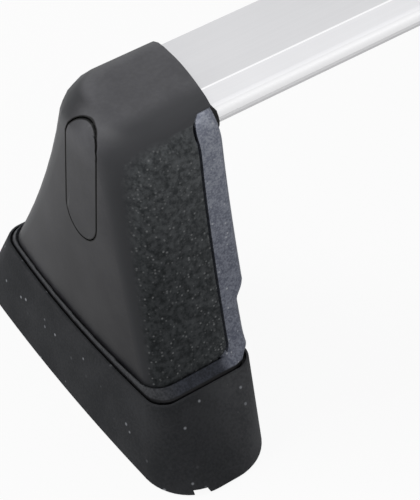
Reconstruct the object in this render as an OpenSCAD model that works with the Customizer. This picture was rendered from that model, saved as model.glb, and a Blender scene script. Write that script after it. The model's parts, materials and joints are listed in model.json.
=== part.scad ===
// Roof rack crossbar: a hollow aluminium wing bar that stands on two tall moulded feet.
// X runs along the bar, +Y points to the thin trailing edge, +Z is up.
// The origin is on the roof plane, midway between the feet.

/* [Bar] */
// Clear length of bar between the two covers
bar_span = 1000; // [700:10:1300]
// Length of bar that each foot holds
bar_engage = 34; // [33:1:36]
// Height of the bar's highest line above the roof
bar_top = 178.6; // [174:0.2:179]
// Height of the bar section, from its flat belly to its highest line
bar_thick = 19.8; // [18:0.2:22]
// Distance of the rounded nose from the bar's middle
nose_reach = 27; // [25:0.5:28]
// Radius of the rounded nose
nose_r = 6; // [5:0.5:6.5]
// Distance of the thin trailing edge from the bar's middle
tail_reach = 29.4; // [27:0.2:29.6]
// Radius of the thin trailing edge
tail_r = 2.2; // [2:0.1:2.6]
// Distance of the top crease from the bar's middle
crease_y = 12.4; // [8:0.2:15]
// Drop from the crease to the top of the trailing edge
tail_drop = 2; // [1.6:0.2:3]
// Drop from the crease to the top of the nose
nose_drop = 1.8; // [1.2:0.2:2.4]
// Radius of the top crease
crease_r = 2.6; // [1:0.2:4]
// Half the width of the flat belly
belly_half = 9.5; // [9:0.5:11]
// Radius beside the flat belly
belly_r = 3.5; // [2:0.5:5]
// Wall of the extrusion
bar_wall = 1.9; // [1.6:0.1:2.2]

/* [Lower channel of the bar] */
// Width of the channel inside
channel_w = 17; // [15:0.5:18]
// Height of the channel inside
channel_h = 7.4; // [6:0.2:8]
// Width of the channel's mouth
mouth_w = 8.6; // [7:0.2:10]
// Thickness of the lips beside the mouth
lip_t = 2.2; // [1.8:0.1:3]

/* [Foot cover] */
// Height of the cover's top above the bar's highest line
hood_rise = 3; // [2.8:0.1:5]
// Wall of the cover
cover_wall = 2.4; // [2:0.1:3]
// Half the cover's length at its top, across the bar
top_half = 37; // [36:0.5:42]
// Depth of the cover at its top, from its edge on the bar to its end face
top_out = 57; // [55:0.5:62]
// Radius that rounds the top into the walls
crown_r = 16; // [12:0.5:18]
// Radius of the upright corners at the top
corner_top = 25; // [20:0.5:28]
// How far the end face is crowned outwards
end_bulge = 3.8; // [1:0.2:6]
// How strongly the near side sweeps outwards on its way down
side_sweep = 1.35; // [1:0.05:2]
// How strongly the far side sweeps outwards on its way down
far_sweep = 1.6; // [1.3:0.1:2.2]
// Height of the body's band between the boot and the cover
band_h = 6; // [4:0.5:10]
// Reach of the cover's lower edge on the near side of the bar's middle
cover_half = 60.8; // [56:0.2:64]
// Reach of the cover's lower edge on the far side of the bar's middle
cover_far = 76.5; // [70:0.5:80]
// Depth at the cover's lower edge, from the plane of its edge on the bar
cover_out = 66.8; // [64:0.2:72]
// Radius of the upright corners at the cover's lower edge
corner_low = 10; // [7:0.5:14]
// Place of the cover's side edge below the bar
leg_edge = 20; // [18:0.5:24]
// How much further out the side edge is at its lower end
leg_lean = 2.5; // [0:0.5:4]
// Distance of the hood's near edge below the cover's top
hood_edge = 1.2; // [0.8:0.1:1.6]
// Distance of the hood's far edge below the cover's top
far_hood = 14; // [8:0.5:20]
// Radius between the hood's side edge and the leg's
notch_r = 6.5; // [3:0.5:8]
// How far the hood's edge on the bar is cut back on the near side
hood_cut = 7.5; // [0:0.5:9]
// How far across the bar that cut runs, as a part of the cover's half length
cut_spread = 1.3; // [0.8:0.1:1.5]
// How strongly that cut is curved
cut_bend = 1.5; // [1:0.1:2]
// Radius between the leg's side edge and its lower edge
leg_r = 6; // [2:0.5:8]
// Width of the groove beside the leg's side edge
groove_w = 1.5; // [0.6:0.1:1.8]
// Width of the grooves round the cover's and the boot's edges
rim_gap = 0.9; // [0.5:0.1:1.4]
// Depth of the groove that the cover stands in
slot_depth = 2.5; // [1.5:0.1:3]
// Thickness of the lip outside that groove
rim_lip = 0.6; // [0.5:0.1:1.2]

/* [Access flap] */
// Width of the opening in the cover
flap_w = 28; // [24:0.5:32]
// Distance of the opening's upper end below the cover's top
flap_drop = 3.1; // [2.6:0.1:6]
// Length of the opening
flap_len = 69.5; // [60:0.5:76]
// Gap all round the flap
flap_gap = 0.7; // [0.4:0.05:0.9]
// Distance of the pivot below the opening's upper end
pivot_drop = 18; // [17:0.5:22]
// Depth of the pivot behind the end face
pivot_depth = 5.6; // [5.4:0.1:6]
// Radius of the pivot pin
pin_r = 1.2; // [1:0.1:1.4]
// Length of the pivot pin
pin_len = 35.5; // [35:0.5:37]
// Thickness of the ears that hold the pin
ear_t = 3; // [2.5:0.25:3.5]
// Wall of the ears round the pin
ear_wall = 1.6; // [1.4:0.1:2]
// Wall of the flap's barrel round the pin
barrel_wall = 1.1; // [0.9:0.1:1.3]
// Distance of the barrel's ends from the sides of the opening
barrel_clear = 4; // [2:0.5:6]

/* [Foot body] */
// Wall of the body
body_wall = 3; // [2.4:0.1:3.4]
// Place of the body's face towards the middle of the bar
body_in = 5; // [4:0.5:7]
// Place of that face below the shoulder
body_in_low = 9.8; // [9:0.2:10.2]
// Height of the shoulder in that face above the cover's lower edge
shoulder_rise = 25; // [20:1:45]
// Depth of the body's cheeks inside the cover
cheek_out = 33; // [30:0.5:34]
// Depth of the body's plug inside the boot
plug_depth = 12; // [8:1:14]
// Height over which the body's face slopes to the shoulder
shoulder_h = 10; // [6:1:16]
// Radius of the body's screws
screw_r = 2; // [1.5:0.25:2.5]
// Radius of the bosses that these screws go into
boss_r = 4.5; // [4:0.25:6]
// Distances of these screws below the bracket's top plate
screw_drops = [52, 17];

/* [Boot] */
// Height of the boot
boot_h = 43; // [38:0.5:45]
// Wall of the boot
boot_wall = 4; // [3:0.25:5]
// Reach of the boot's upper edge on the near side of the bar's middle
boot_half = 69; // [62:0.2:71]
// Reach of the boot's upper edge on the far side of the bar's middle
boot_far = 84.5; // [76:0.5:88]
// Depth of the boot's end face at its upper edge
boot_out = 69.8; // [68:0.2:73]
// Place of the boot's face towards the middle of the bar
boot_in = 10; // [9:0.5:10.5]
// Radius of the boot's corners at its upper edge
boot_corner = 11; // [8:0.5:13]
// Width of the thin rim that stands round the body's band
rim_w = 1.2; // [1:0.1:1.8]
// Height of that rim
rim_h = 3; // [2:0.25:5]
// Reach of the boot on the roof on the near side of the bar's middle
base_half = 97.5; // [85:0.5:105]
// Reach of the boot on the roof on the far side of the bar's middle
base_far = 109; // [100:0.5:115]
// Place of the boot's face towards the middle of the bar, on the roof
base_in = 15; // [11:0.5:16]
// Depth of the boot's end face on the roof
base_out = 79; // [74:0.5:84]
// Radius of the boot's corners on the roof
base_corner = 26; // [18:0.5:28]
// Place of the drain notches in the boot's lower edge
drain_x = 62; // [50:0.5:64]
// Width of the drain notches
drain_w = 8; // [4:0.5:12]
// Height of the drain notches
drain_h = 3; // [2:0.5:5]

/* [Support bracket] */
// Thickness of the bracket's plates
plate_t = 4; // [3:0.25:5]
// Thickness of the bracket's side gussets
gusset_t = 3; // [2.5:0.25:4]
// Half the width of the bracket's web and top plate
web_half = 15; // [13:0.5:17]
// Height of the foot plate's underside above the roof
foot_z = 14; // [12:0.5:18]
// Half the width of the foot plate
foot_half = 24; // [20:0.5:28]
// Depth of the foot plate's outer edge
foot_out = 62; // [56:0.5:63]

/* [Bar clamp] */
// Thickness of the rubber pad below the bar
saddle_t = 2; // [1.5:0.1:3]
// Radius of the clamp screws
clamp_r = 3; // [2.5:0.1:3.2]
// Distance of the clamp plate's ends from the screws
clamp_margin = 6; // [5:0.5:7]
// Width of the rubber collar round the bar
seal_w = 2.6; // [2:0.1:3]
// Thickness of that collar along the bar
seal_t = 2.4; // [1.5:0.1:3]

/* [Roof fixing] */
// Radius of the fixing bolt's stud
bolt_r = 4; // [3:0.25:5]
// Place of the fixing bolt
bolt_x = 43; // [40:0.5:46]
// Height of the stud's tip above the roof
bolt_tip = 1; // [0.5:0.25:4]
// Thickness of the bolt's washer
washer_t = 1.6; // [1.2:0.1:2]
// Thickness of the ring that keeps the bolt captive
ring_t = 1.2; // [1:0.1:1.5]
// Height of the base pad's underside above the roof
pad_z = 0.6; // [0.3:0.1:1]
// Radius of the recess round the stud in the base pad
recess_r = 14; // [12:0.5:16]

/* [Fits] */
// Gap between pieces that seat on each other
seat = 0.05; // [0.02:0.01:0.1]
// Gap between pieces that lie beside each other
side_gap = 0.35; // [0.2:0.05:0.5]
// Running clearance of the pivot pin, on the radius
pin_play = 0.05; // [0.03:0.01:0.08]

/* [Hidden] */
$fn = 48;

// Steps of the moulded surfaces
corner_steps = 5;
inner_corner_steps = 3;
face_steps = 6;
side_steps = 2;
rise_steps = 7;
flare_steps = 5;
crown_steps = 5;
arc_steps = 8;
trim_steps = 12;
shoulder_steps = 4;
boot_steps = 4;
edge_steps = 3;

// Small radii and overlaps
eps = 0.01;
over = 1;
least_r = 2;
body_edge_r = 5;
flare_h = 8;
foot_edge_r = 1;
shell_beyond = 4;

// Places that follow from the sizes above
foot_x = bar_span / 2;
cover_h = bar_top + hood_rise;
cover_z = boot_h + band_h;
hood_z = cover_h - hood_edge;
far_hood_z = cover_h - far_hood;
flap_high = cover_h - flap_drop;
flap_low = flap_high - flap_len;
shoulder_z = cover_z + shoulder_rise;
belly_z = bar_top - bar_thick;
saddle_z = belly_z - seat - saddle_t;
top_plate_z = saddle_z - seat - plate_t;
crown_z = cover_h - crown_r;
pivot_z = flap_high - pivot_drop;
pivot_x = out_at(pivot_z) + end_bulge - pivot_depth;
channel_z = belly_z + lip_t;
web_x = boot_inner(boot_h - plug_depth) + boot_wall + body_wall + 2 * side_gap;
near_foot = boot_reach(boot_half, base_half, foot_edge_r);
far_foot = boot_reach(boot_far, base_far, foot_edge_r);
bar_y = (near_foot - far_foot) / 2;
saddle_half = top_half - crown_r / 2 - cover_wall - body_wall;
screw_heights = [for (drop = screw_drops) top_plate_z - drop];
clamp_head_r = 1.7 * clamp_r;
clamp_key_r = 0.95 * clamp_r;
clamp_x = web_x - side_gap - clamp_head_r;
clamp_pitch = plate_t + 2 * side_gap + 2 * clamp_head_r;
gusset_step = 3 * plate_t;
gusset_drop = 4 * plate_t;
bolt_head_r = 1.625 * bolt_r;
bolt_key_r = 0.86 * bolt_r;
washer_r = 2.2 * bolt_r;
ring_r = 1.8 * bolt_r;
washer_z = foot_z + plate_t + seat;
head_z = washer_z + washer_t + seat;
ring_z = foot_z - seat - ring_t;
shoulder_r = 1.1 * bolt_r;

// Points along an arc in a plane, from angle a0 to a1
function arc(cx, cy, r, a0, a1, n) =
  [for (i = [0:n]) let (a = a0 + (a1 - a0) * i / n) [cx + r * cos(a), cy + r * sin(a)]];

// Points between two corners, without the corners themselves
function between(a, b, n) = [for (i = [1:n - 1]) a + (b - a) * i / n];

// The wing section as circles [y, z, r], anticlockwise from the belly's nose side
function wing_circles() =
  [
    [-belly_half, belly_z + belly_r, belly_r],
    [belly_half, belly_z + belly_r, belly_r],
    [tail_reach - tail_r, bar_top - tail_drop - tail_r, tail_r],
    [-crease_y, bar_top - crease_r, crease_r],
    [-nose_reach + nose_r, bar_top - nose_drop - nose_r, nose_r]
  ];

// Angle of the outward normal of the straight edge from circle a to circle b
function edge_angle(a, b) =
  let (d = [b[0] - a[0], b[1] - a[1]])
  atan2(d[1], d[0]) - 90 + asin((a[2] - b[2]) / norm(d));

// Outline of a belt round the circles, moved inwards by inset
function belt(c, inset) =
  let (n = len(c))
  [for (i = [0:n - 1])
    let (
      a0 = edge_angle(c[(i + n - 1) % n], c[i]),
      a1 = edge_angle(c[i], c[(i + 1) % n]),
      turn = ((a1 - a0) % 360 + 360) % 360
    )
    each arc(c[i][0], c[i][1], max(c[i][2] - inset, eps), a0, a0 + turn, arc_steps)];

// Extrudes a section drawn in Y and Z along X
module along_x(x0, x1) {
  translate([x0, 0, 0])
    rotate([90, 0, 90])
      linear_extrude(x1 - x0)
        children();
}

// Extrudes a section drawn in X and Z across Y, centred on the bar's middle
module across_y(width) {
  rotate([90, 0, 0])
    linear_extrude(width, center = true)
      children();
}

// Depth of the foot's end face below its edge on the bar, before its crowning
function out_at(z) = top_out + (cover_out - top_out) * fall(z);

// Reach of the foot's side surface from the bar's middle, on the near and the far side
function near_at(z) = top_half + (cover_half - top_half) * pow(fall(z), side_sweep);
function far_at(z) = top_half + (cover_far - top_half) * pow(fall(z), far_sweep);

// Radius of the foot's upright corners
function corner_at(z) = corner_top + (corner_low - corner_top) * fall(z);

// A value kept between 0 and 1
function within(t) = max(0, min(1, t));

// 0 at the cover's top and 1 at its lower edge
function fall(z) = within((cover_h - z) / (cover_h - cover_z));

// How far a rounded edge stands back, from 0 where the rounding starts to 1 at its end
function rounding(t) = 1 - sqrt(1 - t * t);

// Place of the cover's side edge, rounded off at both ends
function edge_at(z) =
  let (
    rise = within((z - hood_z + notch_r) / notch_r),
    drop = within((cover_z + leg_r - z) / leg_r)
  )
  leg_edge + leg_lean * fall(z) - notch_r * rounding(rise) + leg_r * rounding(drop);

// Place of the body's face towards the middle of the bar
function inner_at(z) =
  let (t = within((shoulder_z + shoulder_h - z) / shoulder_h))
  body_in + (body_in_low - body_in) * t * t * (3 - 2 * t);

// Outline in plan: out and in are depths from the cover's edge on the bar, towards -X,
// near and far are the reaches to each side of the bar's middle
function plan(out, in, near, far, r_out, r_in, bulge) =
  let (
    middle = (far - near) / 2,
    half = (far + near) / 2,
    near_out = arc(-out + r_out, -near + r_out, r_out, 180, 270, corner_steps),
    near_in = arc(-in - r_in, -near + r_in, r_in, 270, 360, inner_corner_steps),
    far_in = arc(-in - r_in, far - r_in, r_in, 0, 90, inner_corner_steps),
    far_out = arc(-out + r_out, far - r_out, r_out, 90, 180, corner_steps),
    loop = concat(
      near_out,
      between([-out + r_out, -near], [-in - r_in, -near], side_steps),
      near_in,
      far_in,
      between([-in - r_in, far], [-out + r_out, far], side_steps),
      far_out,
      between([-out, far - r_out], [-out, -near + r_out], face_steps)
    )
  )
  [for (p = loop)
    let (crown = bulge * (1 - pow((p[1] - middle) / half, 2)) * (-p[0] - in) / (out - in))
    [p[0] - crown, p[1]]];

// A plan outline lifted to height z
function lift(outline, z) = [for (p = outline) [p[0], p[1], z]];

// Solid skin through rings of equal length, closed by a face at each end
module loft(rings) {
  n = len(rings[0]);
  last = (len(rings) - 1) * n;
  walls = [for (k = [0:len(rings) - 2], i = [0:n - 1])
    let (a = k * n + i, b = k * n + (i + 1) % n)
    each [[a, a + n, b + n], [a, b + n, b]]];
  ends = [[for (i = [0:n - 1]) i], [for (i = [n - 1:-1:0]) last + i]];
  polyhedron([for (ring = rings) each ring], concat(walls, ends));
}

// Closed skin through rings of equal length, whose last ring joins the first
module hoop(rings) {
  n = len(rings[0]);
  m = len(rings);
  walls = [for (k = [0:m - 1], i = [0:n - 1])
    let (
      next = (i + 1) % n,
      a = k * n + i,
      b = k * n + next,
      c = (k + 1) % m * n + i,
      d = (k + 1) % m * n + next
    )
    each [[a, c, d], [a, d, b]]];
  polyhedron([for (ring = rings) each ring], walls);
}

// One ring of the cover's surface, moved inwards by inset
function cover_ring(z, inset, in) =
  let (r = max(corner_at(z) - inset, least_r))
  lift(plan(out_at(z) - inset, in, near_at(z) - inset, far_at(z) - inset, r, eps, end_bulge), z);

// The cover's surface from its lower edge to its top, moved inwards by inset
function cover_rings(inset, in) = concat(
  [cover_ring(cover_z - slot_depth + seat, inset, in)],
  [for (i = [0:rise_steps]) cover_ring(cover_z + (crown_z - cover_z) * i / rise_steps, inset, in)],
  [for (k = [1:crown_steps])
    let (a = 90 * k / crown_steps, r = crown_r - inset)
    cover_ring(crown_z + r * sin(a), inset + r * (1 - cos(a)), in)]
);

function reversed(list) = [for (i = [len(list) - 1:-1:0]) list[i]];

// The cover as a closed shell, before it is cut open towards the bar
module cover_shell() {
  loft(concat(
    reversed(cover_rings(cover_wall, -shell_beyond - over)),
    cover_rings(0, -shell_beyond)
  ));
}

// The long round-ended shape of the flap, as a prism through the end face
module flap_prism(gap) {
  r = flap_w / 2 - gap;
  low = flap_low + flap_w / 2;
  high = flap_high - flap_w / 2;
  along_x(-cover_out - 2 * end_bulge, -leg_edge - 2 * over) {
    translate([0, low])
      circle(r);
    translate([0, high])
      circle(r);
    translate([-r, low])
      square([2 * r, high - low]);
  }
}

// The bar's outline as a passage through the foot
module bar_passage(gap) {
  along_x(-bar_engage - side_gap, 2 * over)
    polygon(belt(wing_circles(), -gap));
}

// Side view of what the cover leaves open towards the bar
module cover_opening() {
  beyond = leg_edge;
  low = cover_z - slot_depth - over;
  hood_half = saddle_half - side_gap;
  difference() {
    across_y(2 * cover_far + 2 * over)
      polygon(concat(
        [[0, cover_h + over], [0, hood_z]],
        notch_points(hood_z),
        leg_points(cover_z),
        [[-edge_at(cover_z), low], [beyond, low], [beyond, cover_h + over]]
      ));
    translate([-leg_edge, -hood_half, bar_top + side_gap])
      cube([leg_edge, 2 * hood_half, crown_r]);
    translate([-leg_edge, 0, far_hood_z])
      cube([leg_edge, cover_far + 2 * over, crown_r + over]);
  }
}

// The side edge's points round its upper and its lower corner, from the top down
function notch_points(z1) =
  [for (i = [0:corner_steps])
    let (z = z1 - notch_r * sin(90 * i / corner_steps))
    [-edge_at(z), z]];
function leg_points(z0) =
  [for (i = [0:corner_steps])
    let (z = z0 + leg_r * (1 - sin(90 * i / corner_steps)))
    [-edge_at(z), z]];

// Plan view of the curve that cuts the hood's edge back on the near side
module hood_trim() {
  span = cut_spread * top_half;
  start = -top_half - over;
  function back(y) = hood_cut * pow(max(0, 1 - (y + top_half) / span), cut_bend);
  translate([0, 0, bar_top])
    linear_extrude(crown_r)
      polygon(concat(
        [[leg_edge, start]],
        [for (i = [0:trim_steps]) let (y = start + (span + over) * i / trim_steps) [-back(y), y]],
        [[leg_edge, start + span + over]]
      ));
}

// Lays a cylinder along the flap's pivot, from y on
module at_pivot(y) {
  translate([-pivot_x, y, pivot_z])
    rotate([-90, 0, 0])
      children();
}

// Ears behind the end wall that hold the pivot pin
module pivot_ears() {
  ear_r = pin_r + ear_wall;
  for (side = [-1, 1])
    let (ear_y = side * (flap_w / 2 + ear_t / 2 + side_gap) - ear_t / 2)
    difference() {
      union() {
        at_pivot(ear_y)
          cylinder(r = ear_r, h = ear_t);
        translate([-pivot_x - pivot_depth + cover_wall, ear_y, pivot_z - ear_r])
          cube([pivot_depth - cover_wall, ear_t, 2 * ear_r]);
      }
      at_pivot(-flap_w)
        cylinder(r = pin_r + seat, h = 2 * flap_w);
    }
}

module foot_cover() {
  color([0.2, 0.2, 0.215])
    union() {
      difference() {
        cover_shell();
        cover_opening();
        hood_trim();
        flap_prism(0);
        bar_passage(side_gap);
      }
      pivot_ears();
    }
}

module access_flap() {
  barrel_r = pin_r + barrel_wall;
  barrel_half = flap_w / 2 - barrel_clear;
  color([0.22, 0.22, 0.235])
    difference() {
      union() {
        intersection() {
          cover_shell();
          flap_prism(flap_gap);
        }
        at_pivot(-barrel_half)
          cylinder(r = barrel_r, h = 2 * barrel_half);
        translate([-pivot_x - pivot_depth + cover_wall / 2, -barrel_half, pivot_z - barrel_r])
          cube([pivot_depth - cover_wall / 2, 2 * barrel_half, 2 * barrel_r]);
      }
      at_pivot(-flap_w)
        cylinder(r = pin_r + pin_play, h = 2 * flap_w);
    }
}

module flap_pin() {
  color([0.7, 0.71, 0.72])
    at_pivot(-pin_len / 2)
      cylinder(r = pin_r, h = pin_len);
}

// How far the rounded top pulls the foot's surface in at height z
function crown_at(z) =
  crown_r * rounding(max(0, z - crown_z) / crown_r);

// Section of the body's upper half at height z: strips beside the cover, cheeks inside it
function cheek_ring(z) =
  let (
    near = near_at(z) - crown_at(z),
    far = far_at(z) - crown_at(z),
    flare = (rim_gap + rim_lip) * pow(within(1 - (z - cover_z) / flare_h), 2),
    lap = cover_wall + side_gap,
    in = inner_at(z),
    edge = edge_at(z) - groove_w,
    back = in + body_wall,
    core = lap + body_wall,
    r = body_edge_r
  )
  lift(concat(
    [[-cheek_out, -near + lap], [-edge, -near + lap], [-edge, -near - flare]],
    arc(-in - r, -near - flare + r, r, 270, 360, inner_corner_steps),
    arc(-in - r, far + flare - r, r, 0, 90, inner_corner_steps),
    [[-edge, far + flare], [-edge, far - lap], [-cheek_out, far - lap]],
    [[-cheek_out, far - core], [-back, far - core], [-back, -near + core], [-cheek_out, -near + core]]
  ), z);

// Upper half of the body, from its ledge to the bar
module body_cheeks() {
  z0 = cover_z + flare_h;
  z1 = shoulder_z;
  z2 = shoulder_z + shoulder_h;
  z3 = hood_z - side_gap;
  loft(concat(
    [cheek_ring(cover_z - slot_depth - seat)],
    [for (i = [0:flare_steps]) cheek_ring(cover_z + flare_h * (1 - cos(90 * i / flare_steps)))],
    [for (i = [1:side_steps]) cheek_ring(z0 + (z1 - z0) * i / side_steps)],
    [for (i = [1:shoulder_steps]) cheek_ring(z1 + (z2 - z1) * i / shoulder_steps)],
    [for (i = [1:rise_steps]) cheek_ring(z2 + (crown_z - z2) * i / rise_steps)],
    [for (i = [1:crown_steps]) cheek_ring(crown_z + (z3 - crown_z) * i / crown_steps)]
  ));
}

// Lower half of the body: the band that shows below the cover and the plug inside the boot
module body_plug() {
  low = boot_h - plug_depth;
  step = boot_h - rim_h + side_gap;
  slip = boot_wall + side_gap;
  deep = cover_wall + side_gap + body_wall;
  function in_boot(z, inset) = lift(plan(
    boot_out - inset, boot_inner(min(z, boot_h)) + inset, boot_half - inset, boot_far - inset,
    boot_corner - inset / 2, boot_corner - inset / 2, end_bulge), z);
  function round_cover(z, grow, in) = lift(plan(
    cover_out + grow, in, cover_half + grow, cover_far + grow,
    corner_low + grow / 2, body_edge_r, end_bulge), z);
  hoop([
    in_boot(low, slip),
    in_boot(step, slip),
    in_boot(step, rim_w + rim_gap),
    in_boot(boot_h + side_gap, rim_w + rim_gap),
    round_cover(cover_z, rim_gap + rim_lip, body_in_low),
    round_cover(cover_z, rim_gap, body_in_low + over),
    round_cover(cover_z - slot_depth, rim_gap, body_in_low + over),
    round_cover(cover_z - slot_depth, -deep, body_in_low + body_wall),
    in_boot(step, slip + body_wall),
    in_boot(low, slip + body_wall)
  ]);
}

// Rods round the body screws' axes, from the bracket's web on: bosses or holes
module screw_rods(r, reach) {
  for (z = screw_heights)
    translate([-web_x + seat, 0, z])
      rotate([0, 90, 0])
        cylinder(r = r, h = reach);
}

// Side view of the cheeks' upper ends, which stay clear of the cover's rounded top
module cheek_trim() {
  z0 = crown_z + crown_r / 3;
  across_y(2 * cover_far)
    polygon(concat(
      [[-cheek_out - over, cover_h], [groove_w - edge_at(hood_z), cover_h]],
      [for (p = notch_points(hood_z)) [p[0] + groove_w, p[1]]],
      [[groove_w - edge_at(z0), z0], [-cheek_out - over, z0]]
    ));
  translate([-cheek_out - over, saddle_half, far_hood_z - side_gap])
    cube([cheek_out + 2 * over, cover_far, cover_h]);
}

module foot_body() {
  color([0.33, 0.345, 0.385])
    difference() {
      union() {
        body_cheeks();
        body_plug();
        screw_rods(boss_r, web_x - body_in - body_wall / 2);
      }
      bar_passage(side_gap);
      cheek_trim();
      translate([-cheek_out - over, -saddle_half, bar_top - tail_drop])
        cube([cheek_out + 2 * over, 2 * saddle_half, cover_h]);
      translate([-over, 0, 0])
        screw_rods(screw_r + seat, web_x - body_in - body_wall + over);
    }
}

// A size of the boot at height z, from its value at the upper edge to its value on the roof
function boot_reach(upper, lower, z) = upper + (lower - upper) * (boot_h - z) / boot_h;

// Place of the boot's face towards the middle of the bar
function boot_inner(z) = boot_reach(boot_in, base_in, z);

// One ring of the boot at height z, moved inwards by inset
function boot_ring(z, inset) =
  let (r = max(boot_reach(boot_corner, base_corner, z) - inset, least_r))
  lift(plan(
    boot_reach(boot_out, base_out, z) - inset, boot_inner(z) + inset,
    boot_reach(boot_half, base_half, z) - inset, boot_reach(boot_far, base_far, z) - inset,
    r, r, end_bulge), z);

module boot() {
  edge_r = rim_w / 2;
  edge_z = boot_h - edge_r;
  color([0.19, 0.19, 0.2])
    difference() {
      hoop(concat(
        [boot_ring(0, foot_edge_r)],
        [for (i = [0:boot_steps]) boot_ring(foot_edge_r + (edge_z - foot_edge_r) * i / boot_steps, 0)],
        [for (i = [1:edge_steps])
          let (a = 90 * i / edge_steps)
          boot_ring(edge_z + edge_r * sin(a), edge_r * (1 - cos(a)))],
        [boot_ring(boot_h, rim_w), boot_ring(boot_h - rim_h, rim_w)],
        [for (i = [boot_steps:-1:0]) boot_ring((boot_h - rim_h) * i / boot_steps, boot_wall)]
      ));
      translate([-drain_x - drain_w / 2, -base_far - over, -over])
        cube([drain_w, 2 * base_far + 2 * over, drain_h + over]);
    }
}

// Side view of the bracket's plates: foot plate, web and top plate in one bent strip
module support_bracket() {
  top_z = top_plate_z + plate_t;
  top_in = body_in + body_wall + 2 * side_gap;
  top_out_x = bar_engage + 2 * over;
  color([0.56, 0.57, 0.58])
    difference() {
      union() {
        across_y(2 * web_half)
          polygon([
            [-web_x, foot_z], [-web_x - plate_t, foot_z],
            [-web_x - plate_t, top_z], [-web_x, top_z]
          ]);
        across_y(2 * foot_half)
          polygon([
            [-web_x, foot_z], [-foot_out, foot_z],
            [-foot_out, foot_z + plate_t], [-web_x, foot_z + plate_t]
          ]);
        across_y(2 * web_half)
          polygon([
            [-top_in, top_plate_z], [-top_out_x, top_plate_z],
            [-top_out_x, top_z], [-top_in, top_z]
          ]);
        for (side = [-1, 1])
          translate([0, side * (web_half - gusset_t / 2), 0])
            across_y(gusset_t)
              polygon([
                [-web_x, foot_z + over], [-foot_out + plate_t, foot_z + over],
                [-foot_out + plate_t, foot_z + 2 * plate_t],
                [-web_x - gusset_step, foot_z + foot_out - web_x],
                [-web_x - gusset_step, top_plate_z - gusset_drop],
                [-top_out_x + over, top_plate_z + over],
                [-web_x, top_plate_z + over]
              ]);
      }
      translate([-bolt_x, 0, foot_z - over])
        cylinder(r = shoulder_r + side_gap, h = plate_t + 2 * over);
      clamp_holes(clamp_r + side_gap);
      screw_rods(screw_r + side_gap, over);
      translate([-plate_t - over, 0, 0])
        screw_rods(screw_r + side_gap, plate_t + 2 * over);
    }
}

// Upright holes for the clamp screws
module clamp_holes(r) {
  for (i = [0, 1])
    translate([-clamp_x - i * clamp_pitch, 0, top_plate_z - over])
      cylinder(r = r, h = channel_z + channel_h - top_plate_z);
}

module saddle_pad() {
  gap = 2 * side_gap;
  color([0.12, 0.12, 0.12])
    difference() {
      translate([-bar_engage, -belly_half + gap, saddle_z])
        cube([bar_engage - body_in - body_wall - gap, 2 * (belly_half - gap), saddle_t]);
      clamp_holes(clamp_r + side_gap);
    }
}

// Rubber collar round the bar's nose, belly and tail, against the body's face
module bar_seal() {
  wing = wing_circles();
  color([0.12, 0.12, 0.12])
    difference() {
      along_x(-body_in + seat, -body_in + seat + seal_t)
        polygon(belt(wing, -seal_w));
      along_x(-body_in - over, over)
        polygon(belt(wing, -seat));
      translate([-body_in - over, -cover_far, bar_top - nose_drop])
        cube([body_in + 2 * over, 2 * cover_far, cover_h]);
      translate([-body_in - over, 0, far_hood_z - side_gap])
        cube([body_in + 2 * over, cover_far, cover_h]);
    }
}

module clamp_plate() {
  plate_h = channel_h - 3 * side_gap;
  color([0.62, 0.63, 0.64])
    difference() {
      translate([-clamp_x - clamp_pitch - clamp_margin, -channel_w / 2 + side_gap, channel_z + seat])
        cube([clamp_pitch + 2 * clamp_margin, channel_w - 2 * side_gap, plate_h]);
      clamp_holes(clamp_r + seat);
    }
}

// Socket screw that points up: head below, shank above, with its seat at height 0
module socket_screw(r, reach, head_r, head_h, key) {
  difference() {
    union() {
      translate([0, 0, -head_h])
        cylinder(r = head_r, h = head_h);
      cylinder(r = r, h = reach);
    }
    translate([0, 0, -head_h - over])
      cylinder(r = key, h = head_h / 2 + over, $fn = 6);
  }
}

module clamp_screws() {
  reach = channel_z + channel_h - side_gap - top_plate_z;
  color([0.7, 0.71, 0.72])
    for (i = [0, 1])
      translate([-clamp_x - i * clamp_pitch, 0, top_plate_z - seat])
        socket_screw(clamp_r, reach, clamp_head_r, clamp_r, clamp_key_r);
}

module body_screws() {
  reach = web_x + plate_t - body_in - body_wall - over;
  color([0.7, 0.71, 0.72])
    for (z = screw_heights)
      translate([-web_x - plate_t - seat, 0, z])
        rotate([0, 90, 0])
          socket_screw(screw_r, reach, 2 * screw_r, screw_r, screw_r);
}

// The bolt has a smooth shoulder where it runs through the washer, the plate and the ring
module fixing_bolt() {
  color([0.72, 0.73, 0.74])
    translate([-bolt_x, 0, head_z])
      mirror([0, 0, 1]) {
        socket_screw(bolt_r, head_z - bolt_tip, bolt_head_r, 2 * bolt_r, bolt_key_r);
        cylinder(r = shoulder_r, h = head_z - ring_z + side_gap);
      }
}

// Flat ring round the fixing bolt, with its underside at height z
module ring_at(z, inner, outer, t) {
  translate([-bolt_x, 0, z])
    difference() {
      cylinder(r = outer, h = t);
      translate([0, 0, -over])
        cylinder(r = inner, h = t + 2 * over);
    }
}

module bolt_washer() {
  color([0.72, 0.73, 0.74])
    ring_at(washer_z, shoulder_r + side_gap, washer_r, washer_t);
}

module retaining_ring() {
  color([0.3, 0.3, 0.31])
    ring_at(ring_z, shoulder_r + seat, ring_r, ring_t);
}

module base_pad() {
  pad_in = base_in + boot_wall + side_gap;
  color([0.13, 0.13, 0.13])
    difference() {
      translate([-foot_out, -foot_half, pad_z])
        cube([foot_out - pad_in, 2 * foot_half, foot_z - seat - pad_z]);
      translate([-bolt_x, 0, -over])
        cylinder(r = recess_r, h = foot_z + over);
    }
}

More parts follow.
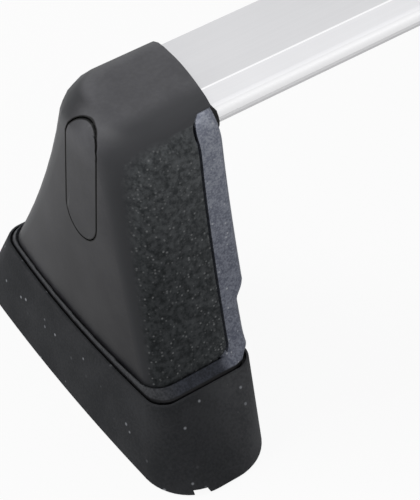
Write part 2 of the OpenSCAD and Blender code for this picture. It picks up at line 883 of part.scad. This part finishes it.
// Section of the bar in Y and Z
module bar_section() {
  wing = wing_circles();
  block = channel_w / 2 + bar_wall;
  difference() {
    polygon(belt(wing, 0));
    difference() {
      polygon(belt(wing, bar_wall));
      translate([-block, belly_z])
        square([2 * block, lip_t + channel_h + bar_wall]);
    }
    translate([-channel_w / 2, channel_z])
      square([channel_w, channel_h]);
    translate([-mouth_w / 2, belly_z - over])
      square([mouth_w, lip_t + 2 * over]);
  }
}

module crossbar() {
  color([0.83, 0.83, 0.85])
    translate([0, bar_y, 0])
      along_x(-foot_x - bar_engage, foot_x + bar_engage)
        bar_section();
}

// Stands a foot's piece at its end of the bar
module at_foot(side) {
  translate([side * foot_x, bar_y, 0])
    mirror([side > 0 ? 1 : 0, 0, 0])
      children();
}

crossbar();
at_foot(-1) foot_cover();  // left_foot_cover
at_foot(-1) access_flap();  // left_access_flap
at_foot(-1) flap_pin();  // left_flap_pin
at_foot(-1) foot_body();  // left_foot_body
at_foot(-1) boot();  // left_boot
at_foot(-1) support_bracket();  // left_support_bracket
at_foot(-1) saddle_pad();  // left_saddle_pad
at_foot(-1) bar_seal();  // left_bar_seal
at_foot(-1) clamp_plate();  // left_clamp_plate
at_foot(-1) clamp_screws();  // left_clamp_screws
at_foot(-1) body_screws();  // left_body_screws
at_foot(-1) fixing_bolt();  // left_fixing_bolt
at_foot(-1) bolt_washer();  // left_bolt_washer
at_foot(-1) retaining_ring();  // left_retaining_ring
at_foot(-1) base_pad();  // left_base_pad
at_foot(1) foot_cover();  // right_foot_cover
at_foot(1) access_flap();  // right_access_flap
at_foot(1) flap_pin();  // right_flap_pin
at_foot(1) foot_body();  // right_foot_body
at_foot(1) boot();  // right_boot
at_foot(1) support_bracket();  // right_support_bracket
at_foot(1) saddle_pad();  // right_saddle_pad
at_foot(1) bar_seal();  // right_bar_seal
at_foot(1) clamp_plate();  // right_clamp_plate
at_foot(1) clamp_screws();  // right_clamp_screws
at_foot(1) body_screws();  // right_body_screws
at_foot(1) fixing_bolt();  // right_fixing_bolt
at_foot(1) bolt_washer();  // right_bolt_washer
at_foot(1) retaining_ring();  // right_retaining_ring
at_foot(1) base_pad();  // right_base_pad
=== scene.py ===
import json
import math

import bmesh
import bpy
from mathutils import Matrix, Vector

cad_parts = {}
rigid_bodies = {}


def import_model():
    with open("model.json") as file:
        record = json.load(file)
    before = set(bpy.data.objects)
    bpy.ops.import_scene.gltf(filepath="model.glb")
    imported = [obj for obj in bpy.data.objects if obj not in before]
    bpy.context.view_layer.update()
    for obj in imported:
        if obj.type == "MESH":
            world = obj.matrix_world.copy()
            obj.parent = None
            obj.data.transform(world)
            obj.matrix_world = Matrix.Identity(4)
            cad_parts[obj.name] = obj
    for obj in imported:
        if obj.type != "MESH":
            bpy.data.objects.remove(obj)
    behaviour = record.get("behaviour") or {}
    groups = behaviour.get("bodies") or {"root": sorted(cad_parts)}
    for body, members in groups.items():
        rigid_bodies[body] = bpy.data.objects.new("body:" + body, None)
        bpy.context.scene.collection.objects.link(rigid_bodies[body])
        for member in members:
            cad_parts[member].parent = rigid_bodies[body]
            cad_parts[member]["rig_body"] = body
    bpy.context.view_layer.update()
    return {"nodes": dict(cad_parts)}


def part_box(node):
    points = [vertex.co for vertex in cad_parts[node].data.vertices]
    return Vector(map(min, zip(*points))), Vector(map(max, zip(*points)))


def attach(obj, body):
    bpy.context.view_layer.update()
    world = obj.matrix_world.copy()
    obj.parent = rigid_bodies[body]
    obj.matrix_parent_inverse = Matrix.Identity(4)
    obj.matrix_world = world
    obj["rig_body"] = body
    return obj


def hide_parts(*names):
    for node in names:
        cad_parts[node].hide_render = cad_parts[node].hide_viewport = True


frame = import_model()
for solid in bpy.context.selected_objects:
    solid.select_set(False)


# The view: the rack is seen from above its left foot, with a long lens, so that the
# tapering foot fills the frame and the bar runs out of it at the upper right.
feet_forward = 0.0012
bar_low, bar_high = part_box("crossbar")
middle_line = (bar_low.y + bar_high.y) / 2 - feet_forward
looked_at, distance = Vector((-0.49127, middle_line, 0.05319)), 1.0148
turn, tilt, roll = (math.radians(angle) for angle in (-33.0, 46.0, -2.0))
bpy.ops.object.camera_add(location=(0, 0, 0))
camera = bpy.context.object
camera.name = "view"
camera.data.type = "PERSP"
camera.data.sensor_fit = "AUTO"
camera.data.sensor_width = 36
camera.data.lens = 139.6
camera.data.clip_start = 0.05
camera.data.clip_end = 20
away = Vector((math.sin(turn) * math.cos(tilt), -math.cos(turn) * math.cos(tilt), math.sin(tilt)))
level = Vector((0, 0, 1)).cross(away).normalized()
upright = away.cross(level)
right = level * math.cos(roll) + upright * math.sin(roll)
upward = upright * math.cos(roll) - level * math.sin(roll)
aimed = Matrix((right, upward, away)).transposed().to_4x4()
camera.matrix_world = Matrix.Translation(looked_at + away * distance) @ aimed
bpy.context.scene.camera = camera
bpy.context.scene.view_settings.view_transform = "Standard"


# The studio: a pale sheet below the rack and even light from all round. A broad soft lamp
# stands beyond the foot's end, so the side in front stays in shade, and two small ones brighten
# the bar's nose and the front. The sheet and the sky look white to the camera and in gloss.
class Wire:
    """One socket of a material, with the sums that the finishes need."""

    def __init__(self, tree, socket=None):
        self.tree = tree
        self.socket = socket

    def node(self, kind, settings=None, **values):
        """A new node. i0, i1 and so on are its sockets by number, other words their names."""
        made = self.tree.nodes.new(kind)
        for name, value in (settings or {}).items():
            setattr(made, name, value)
        for name, value in values.items():
            numbered = name[0] == "i" and name[1:].isdigit()
            socket = made.inputs[int(name[1:]) if numbered else name.replace("_", " ")]
            if isinstance(value, Wire):
                self.tree.links.new(value.socket, socket)
            else:
                socket.default_value = value
        return made

    def wire(self, kind, output=0, settings=None, **values):
        """One output, by number or name, of a new node."""
        return Wire(self.tree, self.node(kind, settings, **values).outputs[output])

    def maths(self, operation, a, b=0.0):
        return self.wire("ShaderNodeMath", 0, {"operation": operation}, i0=a, i1=b)

    def __add__(self, other):
        return self.maths("ADD", self, other)

    def __radd__(self, other):
        return self.maths("ADD", other, self)

    def __sub__(self, other):
        return self.maths("SUBTRACT", self, other)

    def __rsub__(self, other):
        return self.maths("SUBTRACT", other, self)

    def __mul__(self, other):
        return self.maths("MULTIPLY", self, other)

    def __rmul__(self, other):
        return self.maths("MULTIPLY", other, self)

    def __abs__(self):
        return self.maths("ABSOLUTE", self)

    def axes(self):
        """The three numbers of this place, direction or colour."""
        split = self.node("ShaderNodeSeparateXYZ", Vector=self)
        return [Wire(self.tree, number) for number in split.outputs]

    def above(self, low, high):
        """0 below low, 1 above high, with a soft step between."""
        return self.wire("ShaderNodeMapRange", 0, {"interpolation_type": "SMOOTHSTEP"},
                         i0=self, i1=low, i2=high, i3=0.0, i4=1.0)

    def between(self, low, high):
        """This value from 0 to 1, spread from low to high."""
        return self.wire("ShaderNodeMapRange", 0, i0=self, i1=0.0, i2=1.0, i3=low, i4=high)

    def tint(self, colour, other):
        """colour where this value is 0, other where it is 1."""
        colour, other = ((*c, 1) if isinstance(c, tuple) else c for c in (colour, other))
        return self.wire("ShaderNodeMix", 2, {"data_type": "RGBA"}, i0=self, i6=colour, i7=other)

    def seen(self):
        """1 for the rays of the camera, of gloss and of glass, 0 for those that give light."""
        rays = self.node("ShaderNodeLightPath").outputs
        sight = Wire(self.tree, rays["Is Camera Ray"])
        for ray in ("Is Glossy Ray", "Is Transmission Ray"):
            sight = self.maths("MAXIMUM", sight, Wire(self.tree, rays[ray]))
        return sight


def finish(name, metallic=0.0, shine=0.5):
    """A new material with its shader; returns it with the wire of its place on the object."""
    material = bpy.data.materials.new(name)
    material.use_nodes = True
    tree = material.node_tree
    tree.nodes.clear()
    start = Wire(tree)
    shader = start.node("ShaderNodeBsdfPrincipled", Metallic=metallic, Specular_IOR_Level=shine)
    out = start.node("ShaderNodeOutputMaterial")
    tree.links.new(shader.outputs[0], out.inputs[0])
    return material, shader, start.wire("ShaderNodeTexCoord", "Object")


def feed(shader, **wires):
    for name, wire in wires.items():
        wire.tree.links.new(wire.socket, shader.inputs[name.replace("_", " ")])


white = (1, 1, 1, 1)
room_light = 0.42
world = bpy.data.worlds.new("studio")
bpy.context.scene.world = world
world.use_nodes = True
world.node_tree.nodes.clear()
sky = Wire(world.node_tree)
glow = sky.node("ShaderNodeBackground", Color=white,
                Strength=sky.seen().between(room_light, 1.0))
world_out = sky.node("ShaderNodeOutputWorld")
world.node_tree.links.new(glow.outputs[0], world_out.inputs[0])

lit_place = Vector((-0.5, 0, 0.12))
for name, stand, width, watts in (("soft_lamp", (-1.4, 0.75, 1.4), 0.8, 17),
                                  ("nose_lamp", (0.13, -0.05, 1.46), 1.1, 1.3),
                                  ("front_lamp", (0.22, -1.23, 0.85), 0.9, 1.2)):
    bpy.ops.object.light_add(type="AREA", location=stand)
    lamp = bpy.context.object
    lamp.name = name
    lamp.data.shape = "DISK"
    lamp.data.size = width
    lamp.data.energy = watts
    lamp.rotation_euler = (lit_place - lamp.location).to_track_quat("-Z", "Y").to_euler()

sheet_size, sheet_drop, sheet_share = 12, 0.0005, 0.93
bpy.ops.mesh.primitive_plane_add(size=sheet_size, location=(0, 0, -sheet_drop))
sheet = bpy.context.object
sheet.name = "floor"
sheet.select_set(False)
sheet.data.transform(sheet.matrix_world)
sheet.matrix_world = Matrix.Identity(4)
pale, pale_shader, place = finish("pale_sheet")
pale_shader.inputs["Base Color"].default_value = (0.62, 0.62, 0.62, 1)
pale_shader.inputs["Roughness"].default_value = 0.9
pale_glow = place.node("ShaderNodeEmission", Color=white, Strength=1.0)
pale_mix = place.node("ShaderNodeMixShader", i0=place.seen() * sheet_share)
pale_out = pale_shader.outputs[0].links[0].to_socket
pale.node_tree.links.new(pale_shader.outputs[0], pale_mix.inputs[1])
pale.node_tree.links.new(pale_glow.outputs[0], pale_mix.inputs[2])
pale.node_tree.links.new(pale_mix.outputs[0], pale_out)
sheet.data.materials.append(pale)


# The crossbar: one long hollow extrusion of aluminium alloy, satin anodised. The die leaves
# faint lines along it. The crease over its nose carries a painted highlight, and the nose a
# painted highlight above a painted shade where it faces down.
def own_skin(node, material):
    """A welded, smoothly shaded copy of a solid, which stands for it in the picture."""
    weld = 0.00001
    copy = bpy.data.objects.new(node + "_skin", frame["nodes"][node].data.copy())
    bpy.context.scene.collection.objects.link(copy)
    bpy.context.view_layer.objects.active = copy
    copy.select_set(True)
    bpy.ops.object.mode_set(mode="EDIT")
    bpy.ops.mesh.select_all(action="SELECT")
    bpy.ops.mesh.remove_doubles(threshold=weld)
    bpy.ops.object.mode_set(mode="OBJECT")
    stand_for(node, copy, material)


def stand_for(node, piece, material):
    """Smooths the active piece, gives it its finish, and lets it take the node's place."""
    sharp_from = math.radians(32)
    bpy.ops.object.shade_smooth_by_angle(angle=sharp_from)
    bpy.ops.object.modifier_add(type="WEIGHTED_NORMAL")
    piece.modifiers[-1].keep_sharp = True
    bpy.ops.object.modifier_apply(modifier=piece.modifiers[-1].name)
    piece.select_set(False)
    piece.data.materials.clear()
    piece.data.materials.append(material)
    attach(piece, frame["nodes"][node]["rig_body"])
    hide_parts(node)


crease_line = middle_line - 0.0124
crease_width, crease_heights = (0.0002, 0.0008), (0.177, 0.178)
nose_heights, nose_turn = (0.1752, 0.1766), (-0.5, 0.35)
satin_dull, satin_pale = (0.64, 0.64, 0.655), (0.68, 0.68, 0.695)
nose_painted_highlight, underside_painted_shade = (0.81, 0.81, 0.82), (0.50, 0.50, 0.51)
crease_highlight_pale = (0.95, 0.95, 0.96)

aluminium, shader, place = finish("satin_anodised_aluminium", metallic=1.0)
drawn = place.wire("ShaderNodeMapping", Vector=place, Scale=(6, 900, 900))
lines = place.wire("ShaderNodeTexNoise", Vector=drawn, Scale=1.0, Detail=3.0, Roughness=0.6)
cloud = place.wire("ShaderNodeTexNoise", Vector=place, Scale=18.0, Detail=3.0)
across, height = place.axes()[1:]
# painted highlight: a pale line painted along the crease over the nose
crease = (1.0 - abs(across - crease_line).above(*crease_width)) * height.above(*crease_heights)
satin = (lines * 0.4 + cloud * 0.6).above(0.3, 0.7).tint(satin_dull, satin_pale)
# painted light on the nose: a painted highlight on its front, turning to a painted shade where it
# faces down
below = 1.0 - height.above(*nose_heights)
shaded_underside = 1.0 - place.wire("ShaderNodeTexCoord", "Normal").axes()[2].above(*nose_turn)
nose = shaded_underside.tint(nose_painted_highlight, underside_painted_shade)
feed(shader,
     Base_Color=crease.tint(below.tint(satin, nose), crease_highlight_pale),
     Roughness=lines.between(0.32, 0.44) - crease * 0.10 + below * 0.06,
     Normal=place.wire("ShaderNodeBump", Strength=0.03, Distance=0.0004, Height=lines))
own_skin("crossbar", aluminium)


# Inside each foot: a folded steel bracket with gussets, zinc plated, carries the bar on a thin
# rubber saddle. Two screws pull a plate inside the bar's lower channel down onto the saddle, and
# a rubber seal closes the foot round the bar.
zinc, shader, place = finish("zinc_plated_steel", metallic=1.0)
spangle = place.wire("ShaderNodeTexVoronoi", Vector=place, Scale=420.0)
smear = place.wire("ShaderNodeTexNoise", Vector=place, Scale=60.0, Detail=4.0)
plated = (spangle * 0.5 + smear * 0.6).above(0.2, 0.9)
feed(shader,
     Base_Color=plated.tint((0.42, 0.43, 0.44), (0.60, 0.60, 0.61)),
     Roughness=smear.between(0.26, 0.46),
     Normal=place.wire("ShaderNodeBump", Strength=0.1, Distance=0.0003, Height=smear))

dark_rubber, shader, place = finish("black_pad_rubber", shine=0.3)
bloom = place.wire("ShaderNodeTexNoise", Vector=place, Scale=240.0, Detail=4.0)
feed(shader,
     Base_Color=bloom.above(0.35, 0.75).tint((0.012, 0.012, 0.012), (0.022, 0.022, 0.022)),
     Roughness=bloom.between(0.7, 0.92),
     Normal=place.wire("ShaderNodeBump", Strength=0.25, Distance=0.0003, Height=bloom))

for side in ("left_", "right_"):
    own_skin(side + "support_bracket", zinc)
    own_skin(side + "saddle_pad", dark_rubber)
    own_skin(side + "bar_seal", dark_rubber)
    own_skin(side + "clamp_plate", zinc)
    own_skin(side + "clamp_screws", zinc)


# The roof fixing: a socket bolt stands through the bracket's foot plate with a washer under
# its head, and a ring keeps it captive. A soft pad fills the space down to the roof.
for side in ("left_", "right_"):
    own_skin(side + "fixing_bolt", zinc)
    own_skin(side + "bolt_washer", zinc)
    own_skin(side + "retaining_ring", zinc)
    own_skin(side + "base_pad", dark_rubber)


# The foot body: the blue-grey inner moulding of glass-filled nylon, screwed to the bracket. It
# shows as a strip beside the cover and as the band above the boot, with a fine even grain.
joint_shade_black = (0.008, 0.008, 0.009)
glass_spark = (0.50, 0.52, 0.56)
back_face, groove_floor = (0.512, 0.516), (0.516, 0.517)
cover_line, band_end = (0.5215, 0.5305), (0.550, 0.568)
boot_joint_heights, strip_heights = (0.0439, 0.0446), (0.085, 0.175)

body_plastic, shader, place = finish("blue_grey_moulded_body", shine=0.2)
fine = place.wire("ShaderNodeTexNoise", Vector=place, Scale=900.0, Detail=2.0)
patch = place.wire("ShaderNodeTexNoise", Vector=place, Scale=240.0, Detail=3.0)
grain = (fine * 0.6 + patch * 0.4).above(0.38, 0.62)
along, _, height = place.axes()
outwards = abs(along)
endward = abs(place.wire("ShaderNodeNewGeometry", "True Normal").axes()[0])
# painted shade: the groove walls and the band under the cover are painted near black, as the shade
# there
groove_shade = endward.above(0.5, 0.7) * outwards.above(*groove_floor)
shaded_under_cover = place.maths("MAXIMUM", outwards.above(*cover_line), groove_shade)
carside = endward.above(0.6, 0.8) * (1.0 - outwards.above(*back_face))
# painted shade: the body is painted near black up to just above the boot's rim, as the shadow in
# the gap there
boot_joint_shade = 1.0 - height.above(*boot_joint_heights)
spark = 1.0 - place.wire("ShaderNodeTexVoronoi", Vector=place, Scale=260.0).above(0.06, 0.2)
# painted light: the strip is painted lighter towards its top
strip = height.above(*strip_heights).tint(
    grain.tint((0.115, 0.125, 0.165), (0.235, 0.250, 0.300)),
    grain.tint((0.190, 0.205, 0.258), (0.350, 0.370, 0.430)))
band = outwards.above(*band_end).tint(
    grain.tint((0.014, 0.016, 0.022), (0.038, 0.042, 0.056)),
    grain.tint((0.026, 0.027, 0.030), (0.055, 0.057, 0.062)))
plain_back = grain.tint((0.105, 0.112, 0.140), (0.160, 0.170, 0.205))
open_face = carside.tint(spark.tint(strip, glass_spark), plain_back)
feed(shader,
     Base_Color=boot_joint_shade.tint(shaded_under_cover.tint(open_face, band), joint_shade_black),
     Roughness=fine.between(0.5, 0.75),
     Normal=place.wire("ShaderNodeBump", Strength=0.4, Distance=0.0004, Height=fine))

for side in ("left_", "right_"):
    own_skin(side + "foot_body", body_plastic)
    own_skin(side + "body_screws", zinc)


# The boot: a moulded rubber skirt, flared onto the roof, matte and nearly black, with pale
# flecks of talc and dust in its grain. Its thin rim stands round the foot body's band, above
# a ledge inside, and a small notch in its lower edge lets water out.
foot_edge, foot_line = 0.5, -0.0057965
boot_height, boot_wall, sole_edge = 0.043, 0.004, 0.001
rim_width, rim_height, ledge_lip = 0.0012, 0.003, 0.0008
out_top, back_top, near_top, far_top, corner_top = 0.0698, 0.010, 0.069, 0.0845, 0.011
out_flare, back_flare, near_flare, far_flare, corner_flare = 0.0092, 0.005, 0.0285, 0.0245, 0.015
end_bulge, least_corner = 0.0038, 0.002
drain_out, drain_size, drain_middle = 0.062, (0.008, 0.25, 0.004), 0.001
corner_parts, side_parts, end_parts, wall_parts, rim_parts = 12, 4, 12, 6, 4
inner_side, dust = (0.512, 0.552), (0.26, 0.27, 0.29)

boot_rubber, shader, place = finish("matte_boot_rubber", shine=0.15)
grain = place.wire("ShaderNodeTexNoise", Vector=place, Scale=700.0, Detail=3.0)
bloom = place.wire("ShaderNodeTexNoise", Vector=place, Scale=45.0, Detail=2.0)
fleck = place.wire("ShaderNodeTexVoronoi", "Distance", Vector=place, Scale=170.0)
chance = place.wire("ShaderNodeTexVoronoi", "Color", Vector=place, Scale=170.0).axes()[0]
spots = (1.0 - fleck.above(0.09, 0.2)) * chance.above(0.72, 0.98)
# painted light: the boot is painted lighter towards its inboard side, over its random tone
inner = 1.0 - abs(place.axes()[0]).above(*inner_side)
shade = (grain * 0.5 + bloom * 0.5).above(0.32, 0.68)
tone_and_painted_light = inner.tint(shade.tint((0.018, 0.019, 0.021), (0.034, 0.035, 0.038)),
                  shade.tint((0.050, 0.051, 0.055), (0.085, 0.087, 0.092)))
feed(shader,
     Base_Color=spots.tint(tone_and_painted_light, dust),
     Roughness=grain.between(0.75, 0.95),
     Normal=place.wire("ShaderNodeBump", Strength=0.3, Distance=0.0004, Height=grain))


def boot_outline(z, inset):
    """Points (depth, y) round the boot at a height, pulled inwards by inset."""
    flare = (boot_height - z) / boot_height
    out = out_top + out_flare * flare - inset
    back = back_top + back_flare * flare + min(inset, boot_wall)
    near = near_top + near_flare * flare - inset
    far = far_top + far_flare * flare - inset
    corner = max(corner_top + corner_flare * flare - inset, least_corner)
    turns = (((out - corner, -near + corner), 180), ((back + corner, -near + corner), 270),
             ((back + corner, far - corner), 0), ((out - corner, far - corner), 90))
    arcs = []
    for (depth, y), start in turns:
        angles = [math.radians(start + 90 * i / corner_parts) for i in range(corner_parts + 1)]
        arcs.append([(depth - corner * math.cos(a), y + corner * math.sin(a)) for a in angles])
    loop = []
    straights = (side_parts, side_parts, side_parts, end_parts)
    for arc, after, parts in zip(arcs, arcs[1:] + arcs[:1], straights):
        (d0, y0), (d1, y1) = arc[-1], after[0]
        loop += arc
        loop += [(d0 + (d1 - d0) * i / parts, y0 + (y1 - y0) * i / parts) for i in range(1, parts)]
    middle, half = (far - near) / 2, (far + near) / 2
    return [(d + end_bulge * (1 - ((y - middle) / half) ** 2) * (d - back) / (out - back), y)
            for d, y in loop]


def spot_key(spot):
    return tuple(round(number, 7) for number in spot)


rounding = rim_width / 2
rounded, ledge = boot_height - rounding, boot_height - rim_height
levels = [(0.0, sole_edge)]
levels += [(sole_edge + (rounded - sole_edge) * i / wall_parts, 0.0)
           for i in range(wall_parts + 1)]
levels += [(rounded + rounding * math.sin(a), rounding * (1 - math.cos(a)))
           for a in (math.radians(90 * i / rim_parts) for i in range(1, rim_parts + 1))]
levels += [(boot_height, rim_width), (ledge, rim_width), (ledge, boot_wall + ledge_lip)]
levels += [(ledge * i / wall_parts, boot_wall) for i in range(wall_parts - 1, -1, -1)]

for side, way in (("left_", -1), ("right_", 1)):
    rings = [[Vector((way * (foot_edge + depth), y + foot_line, z))
              for depth, y in boot_outline(z, inset)] for z, inset in levels]
    bpy.ops.mesh.primitive_circle_add(vertices=len(rings[0]), fill_type="NOTHING")
    boot = bpy.context.object
    boot.name = side + "boot_skirt"
    bpy.ops.object.mode_set(mode="EDIT")
    bpy.ops.mesh.select_mode(type="EDGE")
    bpy.ops.mesh.select_all(action="SELECT")
    mesh = bmesh.from_edit_mesh(boot.data)
    for vert, spot in zip(mesh.verts, rings[0]):
        vert.co = spot
    for ring, after in zip(rings, rings[1:]):
        bpy.ops.mesh.extrude_edges_move()
        mesh = bmesh.from_edit_mesh(boot.data)
        moves = {spot_key(spot): new for spot, new in zip(ring, after)}
        for vert in [v for v in mesh.verts if v.select]:
            vert.co = moves[spot_key(vert.co)]
    bpy.ops.mesh.select_non_manifold(extend=False)
    bpy.ops.mesh.bridge_edge_loops()
    bpy.ops.mesh.select_all(action="SELECT")
    bpy.ops.mesh.normals_make_consistent(inside=False)
    bpy.ops.object.mode_set(mode="OBJECT")
    boot.select_set(False)
    bpy.ops.mesh.primitive_cube_add(
        size=1, location=(way * (foot_edge + drain_out), 0, drain_middle), scale=drain_size)
    cutter = bpy.context.object
    cutter.select_set(False)
    bpy.context.view_layer.objects.active = boot
    boot.select_set(True)
    bpy.ops.object.modifier_add(type="BOOLEAN")
    notch = boot.modifiers[-1]
    notch.operation = "DIFFERENCE"
    notch.solver = "EXACT"
    notch.object = cutter
    bpy.ops.object.modifier_apply(modifier=notch.name)
    bpy.data.objects.remove(cutter)
    stand_for(side + "boot", boot, boot_rubber)


# The foot cover: a thin shell of black plastic, clipped over the body. Its end and top are
# smooth with a soft sheen, and its two long sides carry a coarse spark-eroded grain.
crown_front, shoulder_line, bar_side = (0.012, 0.026), (-0.008, 0.012), (0.508, 0.562)
flap_middle, flap_straight, flap_round = 0.14375, 0.02075, 0.014
flap_joint, joint_width, joint_places = 0.00035, (0.0006, 0.0010), (0.547, 0.550)
gap_shade_black, crystal_grey = (0.004, 0.004, 0.004), (0.210, 0.216, 0.220)

cover_plastic, shader, place = finish("black_cover_plastic", shine=0.1)
pit = place.wire("ShaderNodeTexVoronoi", "Distance", Vector=place, Scale=560.0)
lot = place.wire("ShaderNodeTexVoronoi", "Color", Vector=place, Scale=560.0).axes()[0]
mottle = place.wire("ShaderNodeTexNoise", Vector=place, Scale=420.0, Detail=4.0, Roughness=0.65)
blotch = place.wire("ShaderNodeTexNoise", Vector=place, Scale=260.0, Detail=4.0)
drift = place.wire("ShaderNodeTexNoise", Vector=place, Scale=40.0, Detail=2.0)
along, across, height = place.axes()
outwards = abs(along)
endward, sideward, skyward = place.wire("ShaderNodeTexCoord", "Normal").axes()
endward, sideward = abs(endward), abs(sideward)

# painted shade: the smooth end and top are painted darker where they turn towards the long sides
# and along the top's front edge
below_crown = sideward.above(0.06, 0.36) * (1.0 - skyward.above(0.84, 0.98))
crown_edge = (0.0 - across).above(*crown_front) * skyward.above(0.5, 0.8)
painted_corner_shade = place.maths("MAXIMUM", below_crown, crown_edge)
# painted light: the smooth plastic is painted lighter towards the top and lower down on the far
# side, and a painted shade darkens the end's upper shoulder on the far side
shoulder = endward.above(0.2, 0.45) * skyward.above(0.25, 0.55) * across.above(*shoulder_line)
end_painted_light = (height.above(0.152, 0.176) * 0.55 + height.above(0.05, 0.165) * 0.45
         + across.above(0.0, 0.05) * (1.0 - height.above(0.10, 0.15)) * 0.3 - shoulder * 0.85)
cloudy = (drift * 0.6 + mottle * 0.4).above(0.34, 0.66)
smooth = painted_corner_shade.tint(end_painted_light.tint(cloudy.tint((0.014, 0.014, 0.016), (0.024, 0.024, 0.026)),
                                cloudy.tint((0.076, 0.076, 0.082), (0.098, 0.098, 0.105))),
                     end_painted_light.tint((0.032, 0.033, 0.036), (0.050, 0.051, 0.055)))

crystals = (1.0 - pit.above(0.12, 0.45)) * lot.above(0.5, 1.05)
speckled = (mottle * 0.65 + blotch * 0.35).above(0.36, 0.64)
# painted light: the grained sides are painted lighter towards the top and on the inboard end, next
# to the strip
side_painted_light = (1.0 - outwards.above(*bar_side)) * 0.35 + height.above(0.09, 0.18) * 0.65
coarse = side_painted_light.tint(speckled.tint((0.013, 0.015, 0.016), (0.050, 0.054, 0.057)),
                     speckled.tint((0.045, 0.049, 0.052), (0.132, 0.140, 0.146)))
sided = sideward.above(0.52, 0.78)
surface = sided.tint(smooth, crystals.tint(coarse, crystal_grey))

# painted shade: a dark line painted round the flap, as the shade in its gap
aside = across - middle_line
beyond = place.maths("MAXIMUM", abs(height - flap_middle) - flap_straight, 0.0)
to_flap = place.maths("SQRT", aside * aside + beyond * beyond) - flap_round
flap_gap_shade = (1.0 - abs(to_flap + flap_joint).above(*joint_width)) * outwards.above(*joint_places)
feed(shader,
     Base_Color=flap_gap_shade.tint(surface, gap_shade_black),
     Roughness=sided.between(0.44, 0.74) + mottle.between(-0.04, 0.04),
     Normal=place.wire("ShaderNodeBump", Strength=0.5, Distance=0.0005,
                       Height=pit * sided * 0.8 + mottle * 0.12))

for side in ("left_", "right_"):
    own_skin(side + "foot_cover", cover_plastic)


# The access flap: a long oval rocker of the cover's plastic, hung on a steel pin between two
# ears. It lies flush in the cover's end, and a tool reaches the fixing bolt through its opening.
for side in ("left_", "right_"):
    own_skin(side + "flap_pin", zinc)
    own_skin(side + "access_flap", cover_plastic)
